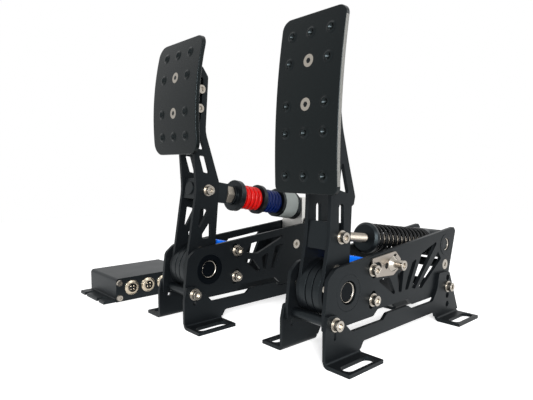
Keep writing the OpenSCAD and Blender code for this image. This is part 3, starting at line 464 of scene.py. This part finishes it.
def plate_grid(half, low, high, r_low, r_top, rows, columns):
    """Points (x, z) that fill a rounded rectangle. Rows crowd towards the ends, and each row spans the
    half width less r - sqrt(r^2 - d^2), where d is how far the row reaches into a corner."""
    crowding = 0.35  # the share of a row's place that comes from the crowded spacing
    crowded = (1 - np.cos(np.linspace(0, math.pi, rows))) / 2
    z = low + (high - low) * (crowding * crowded + (1 - crowding) * np.linspace(0, 1, rows))
    into_low = np.clip(low + r_low - z, 0, r_low)
    into_top = np.clip(z - high + r_top, 0, r_top)
    cut_low = r_low - np.sqrt(r_low ** 2 - into_low ** 2)
    cut_top = r_top - np.sqrt(r_top ** 2 - into_top ** 2)
    span = half - cut_low - cut_top
    x = np.linspace(-1, 1, columns)[None, :] * span[:, None]
    return x, np.repeat(z[:, None], columns, 1)


def pad(kind, apex, bow, corners, columns_mm, rows_mm, screws_mm, rim):
    """A bowed plate. At depth d the face is y = apex + bow - sqrt((bow - d)^2 - (z - apex height)^2).
    A grip collar falls off outside its crest as h * exp(-((r - crest) / fall)^2), and inside the crest it
    is dished as a cone with a round bottom, h - dish depth * (1 - sqrt((r^2 + soft) / (crest^2 + soft))).
    The straight parts of the side edges have the material of the rim, on the throttle pad a painted highlight
    that stops short of the corners, where the light falls away."""
    s = sizes()
    low, high = (np.array(v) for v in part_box(kind + "_pad"))
    base = module_origin(kind)
    half, thick = (high[0] - low[0]) / 2, 0.005
    fall, soft = 0.0012, 4e-7
    rim_end, rear_chamfer = 0.0009, 0.0007  # distances from the rear face
    back_rings = (0.96, 0.8, 0.6, 0.4, 0.2, 0.0)  # as shares of the rear face's outline
    pitch = 0.00045  # of the face's grid
    rows, columns = int((high[2] - low[2]) / pitch), int(2 * half / pitch)

    def bowed(x, z, depth, lift=0.0):
        """Points at a depth below the bowed face, raised from it by lift."""
        y = base[1] + apex[0] + bow - np.sqrt((bow - depth) ** 2 - (z - apex[1]) ** 2) - lift
        return np.stack([x + base[0], y, z], -1)

    def outline(inset):
        """Grid of the plate shrunk by inset, and the points round its edge."""
        x, z = plate_grid(half - inset, low[2] + inset, high[2] - inset, corners[0] - inset,
                          corners[1] - inset, rows, columns)
        grid = np.stack([x, z], -1)
        return grid, np.concatenate([grid[0, :-1], grid[:-1, -1], grid[-1, :0:-1], grid[:0:-1, 0]])

    b = s.pad_bevel
    grid = outline(b)[0]
    x, z = grid[..., 0], grid[..., 1]
    lift = np.zeros_like(x)
    for cx in columns_mm:
        for cz in rows_mm:
            if cx == 0 and cz in screws_mm:
                continue
            r = np.hypot(x - cx / 1000, z - cz / 1000)
            outside = s.collar_height * np.exp(-((r - s.collar_radius) / fall) ** 2)
            cone = np.sqrt((r ** 2 + soft) / (s.collar_radius ** 2 + soft))
            inside = s.collar_height - s.dish_depth * (1 - cone)
            lift += np.where(r > s.collar_radius, outside, inside)
    front = bowed(x, z, 0.0, lift)
    steps = [(b, 0.0), (0.0, b), (0.0, 1.2 * b), (0.0, thick - rim_end), (0.0, thick - rear_chamfer),
             (rear_chamfer, thick)]
    edges = [(outline(inset)[1], depth) for inset, depth in steps]
    middle, last = np.array([0.0, (low[2] + high[2]) / 2]), edges[-1][0]
    edges += [(middle + (last - middle) * k, thick) for k in back_rings]
    rings = np.stack([bowed(e[:, 0], e[:, 1], depth) for e, depth in edges])
    n = rows * columns
    points = np.concatenate([front.reshape(-1, 3), rings.reshape(-1, 3)])
    round_edge = rings.shape[1]
    faces = np.concatenate([grid_faces(rows, columns, False), grid_faces(len(rings), round_edge, True) + n])
    obj = mesh_piece(kind + "_pad.dressed", points, faces, finish("pad coat"))
    obj.data.materials.append(finish(rim))
    # Painted highlight: the rim's material goes only on the straight side edges, which face the light; the
    # corners, turned away from it, keep the dark coat.
    where = np.zeros(len(faces), int)
    second = len(faces) - (len(rings) - 2) * round_edge
    height = outline(0.0)[1][:, 1]
    straight = (height > low[2] + corners[0]) & (height < high[2] - corners[1])
    where[second:second + 2 * round_edge] = np.tile(straight, 2)
    obj.data.polygons.foreach_set("material_index", where)
    outward(obj)
    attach(obj, BODY_OF[kind + "_pad"])
    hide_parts(kind + "_pad")


class PEDALS_OT_pads(bpy.types.Operator):
    """Make both pad plates with their grip collars"""
    bl_idname = "pedals.pads"
    bl_label = "Pads"

    def execute(self, context):
        # The throttle pad's rim finish carries a painted highlight.
        pad("throttle", apex=(0.0026, 0.182), bow=0.7, corners=(0.007, 0.0095), columns_mm=(-23, 0, 23),
            rows_mm=(167.5, 205.5, 230.5, 269, 294), screws_mm=(230.5, 269), rim="painted highlight rim")
        pad("brake", apex=(0.007, 0.225), bow=0.325, corners=(0.014, 0.012), columns_mm=(-24, 0, 24),
            rows_mm=(208.5, 234, 272.7, 297.3), screws_mm=(234, 272.7), rim="pad coat")
        return {"FINISHED"}


# Springs

def spring(node, line, start, length, outer, wire, square, coils, ends, material, slot):
    """A compression spring of oval wire (radial, axial size). The wire's centre runs round at a constant
    radius; it climbs ends[1] in the first and last ends[0] turns, and evenly in between. The spring is
    clear of each seat by the gap."""
    origin, axis, across, up = line_frame(node.split("_")[0], *line)
    origin = origin + axis * start
    gap, steps_per_turn = 0.0002, 56
    t = np.linspace(0, coils, int(coils * steps_per_turn))
    free = length - wire[1] - 2 * gap
    rise = np.interp(t, [0, ends[0], coils - ends[0], coils], [0, ends[1], free - ends[1], free])
    angle = 2 * math.pi * (t - ends[0])
    spoke = np.cos(angle)[:, None] * across - np.sin(angle)[:, None] * up
    centres = origin + spoke * (outer - wire[0]) / 2 + (rise + wire[1] / 2 + gap)[:, None] * axis
    way = np.gradient(centres, axis=0)
    way /= np.linalg.norm(way, axis=1)[:, None]
    over = np.cross(way, spoke)
    obj = tube(node + ".wire", centres, spoke, over, (wire[0] / 2, wire[1] / 2), square, material)
    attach(obj, BODY_OF[node])
    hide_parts(node)
    return obj, tuple(axis), tuple(origin + axis * length)


class PEDALS_OT_springs(bpy.types.Operator):
    """Wind the throttle spring and the two brake springs"""
    bl_idname = "pedals.springs"
    bl_label = "Springs"

    def execute(self, context):
        s = sizes()
        obj, axis, seat = spring(
            "throttle_spring", THROTTLE_LINE, start=0.062, length=0.10231, outer=0.031, wire=(0.003, 0.0039),
            square=1.0, coils=s.throttle_coils, ends=(1, 0.0044), material=finish("black spring paint"),
            slot="black_spring")
        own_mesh(obj)
        brake = {"outer": 0.03, "wire": (0.0046, 0.005), "square": 0.8, "coils": s.brake_coils,
                 "ends": (0.2, 0.0)}
        obj, axis, seat = spring("brake_red_spring", BRAKE_LINE, start=0.055, length=0.0304, **brake,
                                 material=finish("red spring paint"), slot="red_spring")
        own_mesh(obj)
        obj, axis, seat = spring("brake_blue_spring", BRAKE_LINE, start=0.091, length=0.0285, **brake,
                                 material=finish("navy spring paint"), slot="blue_spring")
        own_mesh(obj)
        return {"FINISHED"}


# Frames, arms and blocks

class PEDALS_OT_sheet_metal(bpy.types.Operator):
    """Round the edges of plates, feet, arms and blocks and coat them"""
    bl_idname = "pedals.sheet_metal"
    bl_label = "Sheet metal"

    def execute(self, context):
        width = sizes().edge_round
        softened("throttle_bearing_cups", finish("satin black coat"), width)
        softened("brake_bearing_cups", finish("black oxide steel"), width)
        for kind in ("throttle", "brake"):
            for part in ("side_plate_left", "side_plate_right", "foot_left", "foot_right",
                         "arm_left", "arm_right"):
                softened(f"{kind}_{part}", finish("satin black coat"), width)
            for part in ("drum", "stop_bar", "pad_mount", "rod_block", "cross_tubes"):
                softened(f"{kind}_{part}", finish("black anodised aluminium"), width)
            softened(kind + "_stop_pad", finish("blue urethane"), width)
        for part in ("throttle_trunnion", "throttle_spring_cup", "load_cell_block", "brake_end_ring",
                     "brake_rear_washer", "brake_middle_washer", "brake_preload_cup"):
            softened(part, finish("black anodised aluminium"), width)
        softened("brake_elastomer", finish("pale elastomer"), width * 1.5)
        softened("load_cell", finish("blasted aluminium"), width)
        softened("travel_plate", finish("brushed stainless sheet"), width)
        return {"FINISHED"}


class PEDALS_OT_fasteners(bpy.types.Operator):
    """Finish the screws and shafts, cut the rod's thread and fit the nuts"""
    bl_idname = "pedals.fasteners"
    bl_label = "Fasteners"

    def execute(self, context):
        steel = finish("stainless fastener")
        for part in ("throttle_frame_screws", "brake_frame_screws", "throttle_arm_screws", "brake_arm_screws",
                     "throttle_pad_screws", "brake_pad_screws", "load_cell_screws", "travel_screw"):
            softened(part, steel, 0.0003)
        for part in ("throttle_pivot_shaft", "brake_pivot_shaft"):
            softened(part, finish("black oxide steel"), 0.0004)
        softened("brake_rod", finish("ground shaft steel"), 0.0003)
        softened("trunnion_bushes", finish("satin black coat"), 0.0003)

        line = line_frame("throttle", *THROTTLE_LINE)
        rod = joined([
            screw_thread("rod", line, start=0.008, end=0.20401, diameter=0.0096, pitch=0.0015,
                         material=finish("ground shaft steel")),
            hex_nut("nut", line, start=0.19731, height=0.006, flats=0.016, hole=0.009,
                    material=finish("ground shaft steel")),
        ], "throttle_rod.threaded")
        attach(rod, BODY_OF["throttle_rod"])
        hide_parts("throttle_rod")

        nut = hex_nut("brake_hex_nut.chamfered", line_frame("brake", *BRAKE_LINE), start=0.034, height=0.01,
                      flats=0.019, hole=0.0121, material=finish("ground shaft steel"))
        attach(nut, BODY_OF["brake_hex_nut"])
        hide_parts("brake_hex_nut")
        return {"FINISHED"}


class PEDALS_OT_retaining_rings(bpy.types.Operator):
    """Fit the retaining rings in the pivot bores and the trunnion bushes"""
    bl_idname = "pedals.retaining_rings"
    bl_label = "Retaining rings"

    def execute(self, context):
        # Sections of a ring: radius and distance from the module's centre plane, in millimetres.
        pivot = [(8.6, 21.05), (9.1, 21.05), (9.55, 23.5), (9.35, 23.7)]
        bush = [(5.65, 22.45), (6.3, 22.45), (6.9, 24.3), (6.7, 24.5)]
        places = [("throttle", "pivot", PIVOT, pivot), ("brake", "pivot", PIVOT, pivot),
                  ("throttle", "trunnion", TRUNNION, bush)]
        for kind, what, centre, section in places:
            middle = module_origin(kind) + np.array([0.0, *centre])
            for side, name in ((-1, "left"), (1, "right")):
                ring = turned(f"{kind}_{what}_ring_{name}", np.array([*section, section[0]]) / 1000, middle,
                              np.array([side, 0.0, 0.0]), np.array([0.0, 1.0, 0.0]),
                              finish("stainless fastener"), steps=72)
                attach(ring, "frame")
        return {"FINISHED"}


# Control box

class PEDALS_OT_control_box(bpy.types.Operator):
    """Finish the control box and fit the contacts in its round sockets"""
    bl_idname = "pedals.control_box"
    bl_label = "Control box"

    def execute(self, context):
        softened("box_shell", finish("control box coat"), 0.0004)
        softened("box_end_plates", finish("box end coat"), 0.0004)
        softened("box_connectors", finish("nickel plating"), 0.0005)
        softened("box_screws", finish("stainless fastener"), 0.0003)
        low, high = (np.array(v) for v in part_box("box_connectors"))
        sunk, socket_radius, socket_pitch, contact_circle = 0.0042, 0.0096, 0.0234, 0.0029
        across, axis = np.array([0.0, 1.0, 0.0]), np.array([1.0, 0.0, 0.0])
        plug = [(0, -0.0028), (0.0055, -0.0028), (0.0055, 0.0026), (0.0052, 0.0029), (0, 0.0029)]
        stud = [(0, 0.0028), (0.001, 0.0028), (0.001, 0.0033), (0.0008, 0.0036), (0, 0.0036)]
        for k in range(3):
            middle = np.array([high[0] - sunk, low[1] + socket_radius + socket_pitch * k,
                               (low[2] + high[2]) / 2])
            insert = turned(f"socket_insert.{k + 1}", plug, middle, axis, across,
                            finish("black socket moulding"))
            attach(insert, "frame")
            for j in range(4):
                a = math.radians(45 + 90 * j)
                seat = middle + contact_circle * np.array([0.0, math.cos(a), math.sin(a)])
                contact = turned(f"socket_contact.{k + 1}.{j + 1}", stud, seat, axis, across,
                                 finish("nickel plating"), steps=20)
                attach(contact, "frame")
        return {"FINISHED"}


# Stage

def softbox(name, place, target, size, power):
    """A rectangular area light at a place, turned to its target, with its power in watts."""
    light = bpy.data.lights.new(name, "AREA")
    light.shape = "RECTANGLE"
    light.size, light.size_y = size
    light.energy = power
    lamp = bpy.data.objects.new(name, light)
    lamp.location = place
    lamp.rotation_euler = (Vector(target) - Vector(place)).to_track_quat("-Z", "Y").to_euler()
    bpy.context.scene.collection.objects.link(lamp)


class PEDALS_OT_stage(bpy.types.Operator):
    """Set the camera, a pale floor and soft studio light"""
    bl_idname = "pedals.stage"
    bl_label = "Stage"

    def execute(self, context):
        scene = context.scene
        scene.view_settings.view_transform = "Standard"
        view = bpy.data.cameras.new("photo view")
        view.lens, view.sensor_width = 32.06, 36.0
        camera = bpy.data.objects.new("photo view", view)
        # Fitted to the photograph: where the camera stands, and how it is turned, tipped down and rolled.
        place, heading, tip, roll = (0.45037, -0.39309, 0.17611), 0.84022, 0.071232, -0.0019458
        turn = Matrix.Rotation(heading, 4, "Z") @ Matrix.Rotation(math.pi / 2 - tip, 4, "X")
        camera.matrix_world = Matrix.Translation(place) @ turn @ Matrix.Rotation(roll, 4, "Z")
        scene.collection.objects.link(camera)
        scene.camera = camera

        world = bpy.data.worlds.new("studio")
        scene.world = world
        world.use_nodes = True
        tree = world.node_tree
        level = put(tree, "ShaderNodeMapRange", {"To Min": 0.22, "To Max": 1.0}, {"Value": self.seen(tree)})
        back = tree.nodes["Background"]
        back.inputs["Color"].default_value = (1, 1, 1, 1)
        tree.links.new(level.outputs["Result"], back.inputs["Strength"])

        reach, below = 1.2, -0.0002
        corners = np.array([[-reach, -reach, below], [reach, -reach, below], [reach, reach, below],
                            [-reach, reach, below]])
        floor = mesh_piece("floor", corners, np.array([[0, 1, 2, 3]]), self.floor_paper(), smooth=False)
        softbox("key softbox", (1.08, -0.88, 0.5), target=(0.19, -0.08, 0.25), size=(0.34, 0.72), power=28)
        softbox("side softbox", (1.0, 1.25, 0.9), target=(0.1, 0, 0.1), size=(1.0, 0.8), power=5)
        softbox("top softbox", (0.0, 0.1, 1.9), target=(0, 0, 0.1), size=(1.4, 1.2), power=8)
        return {"FINISHED"}

    def seen(self, tree):
        """One for camera, glossy and transmission rays, and zero for the rays that light the object."""
        path = put(tree, "ShaderNodeLightPath")
        total = path.outputs["Is Camera Ray"]
        for other in ("Is Glossy Ray", "Is Transmission Ray"):
            add = put(tree, "ShaderNodeMath", {"operation": "ADD", "use_clamp": True})
            tree.links.new(total, add.inputs[0])
            tree.links.new(path.outputs[other], add.inputs[1])
            total = add.outputs["Value"]
        return total

    def floor_paper(self):
        """White studio paper. The camera sees it lifted to white, and the object's shadow stays."""
        material, tree, shader = surface("studio paper", {"Base Color": linear("#F4F4F4"), "Roughness": 0.9})
        place = put(tree, "ShaderNodeTexCoord")
        # The fibres are about 1.7 mm long.
        fibre = put(tree, "ShaderNodeTexNoise", {"Scale": 600.0}, {"Vector": place.outputs["Object"]})
        bump = put(tree, "ShaderNodeBump", {"Strength": 0.05, "Distance": 0.0001},
                   {"Height": fibre.outputs["Fac"]})
        tree.links.new(bump.outputs["Normal"], shader.inputs["Normal"])
        lift = put(tree, "ShaderNodeMapRange", {"To Min": 0.0, "To Max": 0.62}, {"Value": self.seen(tree)})
        shader.inputs["Emission Color"].default_value = (1, 1, 1, 1)
        tree.links.new(lift.outputs["Result"], shader.inputs["Emission Strength"])
        return material


class PEDALS_PT_panel(bpy.types.Panel):
    """The pedal set's pieces, in the sidebar"""
    bl_label = "Pedals"
    bl_idname = "PEDALS_PT_panel"
    bl_space_type = "VIEW_3D"
    bl_region_type = "UI"
    bl_category = "Pedals"

    def draw(self, context):
        column = self.layout.column()
        for name in PedalSetSizes.__annotations__:
            column.prop(context.scene.pedal_sizes, name)
        for name in PedalSetColours.__annotations__:
            column.prop(context.scene.pedal_colours, name)
        for step in STEPS:
            column.operator(step.bl_idname)


STEPS = (PEDALS_OT_stage, PEDALS_OT_pads, PEDALS_OT_springs, PEDALS_OT_sheet_metal, PEDALS_OT_fasteners,
         PEDALS_OT_retaining_rings, PEDALS_OT_control_box)
CLASSES = (PedalSetSizes, PedalSetColours, *STEPS, PEDALS_PT_panel)


def register():
    for cls in CLASSES:
        bpy.utils.register_class(cls)
    bpy.types.Scene.pedal_sizes = bpy.props.PointerProperty(type=PedalSetSizes)
    bpy.types.Scene.pedal_colours = bpy.props.PointerProperty(type=PedalSetColours)


def unregister():
    del bpy.types.Scene.pedal_colours
    del bpy.types.Scene.pedal_sizes
    for cls in reversed(CLASSES):
        bpy.utils.unregister_class(cls)


def main():
    """Builds the stage and every piece."""
    register()
    bpy.ops.pedals.stage()
    bpy.ops.pedals.pads()
    bpy.ops.pedals.springs()
    bpy.ops.pedals.sheet_metal()
    bpy.ops.pedals.fasteners()
    bpy.ops.pedals.retaining_rings()
    bpy.ops.pedals.control_box()


if __name__ == "__main__":
    main()
